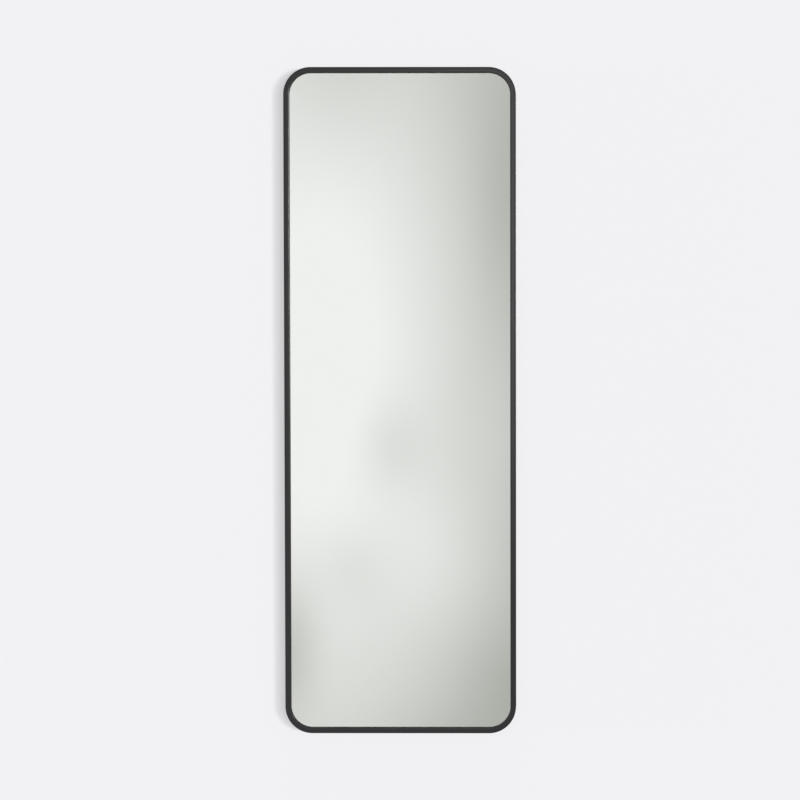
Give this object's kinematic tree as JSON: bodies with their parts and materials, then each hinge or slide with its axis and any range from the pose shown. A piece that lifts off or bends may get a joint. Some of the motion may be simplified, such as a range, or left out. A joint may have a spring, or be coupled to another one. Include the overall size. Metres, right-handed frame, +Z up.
{
  "type": "wall mirror",
  "caption": "Tall wall mirror in a thin black metal rail with rounded corners, backed by a board with swinging hanger rings.",
  "frame": {"origin": "middle of the mirror on the wall plane, which goes through the rear faces of the four bumpers", "axes": "+Z up, +X to the right as the viewer sees the glass, +Y towards the wall"},
  "size_m": [0.556, 0.0303, 1.6],
  "materials": {
    "black_coat": "satin",
    "mill_aluminium": "satin",
    "black_steel": "satin",
    "foam": "matte",
    "clear_glass": "polished",
    "silver": "polished",
    "fibreboard": "matte",
    "zinc_steel": "satin",
    "rubber": "matte"
  },
  "bodies": {
    "mirror": {"frame_rail": "black_coat", "splice_bar": "mill_aluminium", "splice_screws": "black_steel", "lip_gasket": "foam", "mirror_glass": "clear_glass", "silver_backing": "silver", "mounting_tape": "foam", "backing_board": "fibreboard", "button_screws": "zinc_steel", "hanger_screws": "zinc_steel", "setting_block_left": "rubber", "setting_block_right": "rubber", "hanger_strap_left": "zinc_steel", "hanger_strap_right": "zinc_steel", "wall_bumper_left_upper": "rubber", "wall_bumper_left_lower": "rubber", "wall_bumper_right_upper": "rubber", "wall_bumper_right_lower": "rubber"},
    "ring_left": {"hanger_ring_left": "zinc_steel"},
    "ring_right": {"hanger_ring_right": "zinc_steel"},
    "button_top_rail": {"turn_button_top_rail": "zinc_steel"},
    "button_bottom_rail": {"turn_button_bottom_rail": "zinc_steel"},
    "button_left_top": {"turn_button_left_top": "zinc_steel"},
    "button_right_top": {"turn_button_right_top": "zinc_steel"},
    "button_left_upper": {"turn_button_left_upper": "zinc_steel"},
    "button_right_upper": {"turn_button_right_upper": "zinc_steel"},
    "button_left_lower": {"turn_button_left_lower": "zinc_steel"},
    "button_right_lower": {"turn_button_right_lower": "zinc_steel"},
    "button_left_bottom": {"turn_button_left_bottom": "zinc_steel"},
    "button_right_bottom": {"turn_button_right_bottom": "zinc_steel"}
  },
  "joints": [
    {"name": "ring_left_swing", "type": "hinge", "parent": "mirror", "child": "ring_left", "pos_m": [-0.19, -0.00924, 0.6], "axis": [-1, 0, 0], "range_deg": [-2, 176]},
    {"name": "ring_right_swing", "type": "hinge", "parent": "mirror", "child": "ring_right", "pos_m": [0.19, -0.00924, 0.6], "axis": [-1, 0, 0], "range_deg": [-2, 176]},
    {"name": "button_top_rail_turn", "type": "hinge", "parent": "mirror", "child": "button_top_rail", "pos_m": [0, -0.0116, 0.779], "axis": [0, 1, 0], "continuous": true},
    {"name": "button_bottom_rail_turn", "type": "hinge", "parent": "mirror", "child": "button_bottom_rail", "pos_m": [0, -0.0116, -0.779], "axis": [0, 1, 0], "continuous": true},
    {"name": "button_left_top_turn", "type": "hinge", "parent": "mirror", "child": "button_left_top", "pos_m": [-0.257, -0.0116, 0.6], "axis": [0, 1, 0], "continuous": true},
    {"name": "button_right_top_turn", "type": "hinge", "parent": "mirror", "child": "button_right_top", "pos_m": [0.257, -0.0116, 0.6], "axis": [0, 1, 0], "continuous": true},
    {"name": "button_left_upper_turn", "type": "hinge", "parent": "mirror", "child": "button_left_upper", "pos_m": [-0.257, -0.0116, 0.2], "axis": [0, 1, 0], "continuous": true},
    {"name": "button_right_upper_turn", "type": "hinge", "parent": "mirror", "child": "button_right_upper", "pos_m": [0.257, -0.0116, 0.2], "axis": [0, 1, 0], "continuous": true},
    {"name": "button_left_lower_turn", "type": "hinge", "parent": "mirror", "child": "button_left_lower", "pos_m": [-0.257, -0.0116, -0.2], "axis": [0, 1, 0], "continuous": true},
    {"name": "button_right_lower_turn", "type": "hinge", "parent": "mirror", "child": "button_right_lower", "pos_m": [0.257, -0.0116, -0.2], "axis": [0, 1, 0], "continuous": true},
    {"name": "button_left_bottom_turn", "type": "hinge", "parent": "mirror", "child": "button_left_bottom", "pos_m": [-0.257, -0.0116, -0.6], "axis": [0, 1, 0], "continuous": true},
    {"name": "button_right_bottom_turn", "type": "hinge", "parent": "mirror", "child": "button_right_bottom", "pos_m": [0.257, -0.0116, -0.6], "axis": [0, 1, 0], "continuous": true}
  ]
}
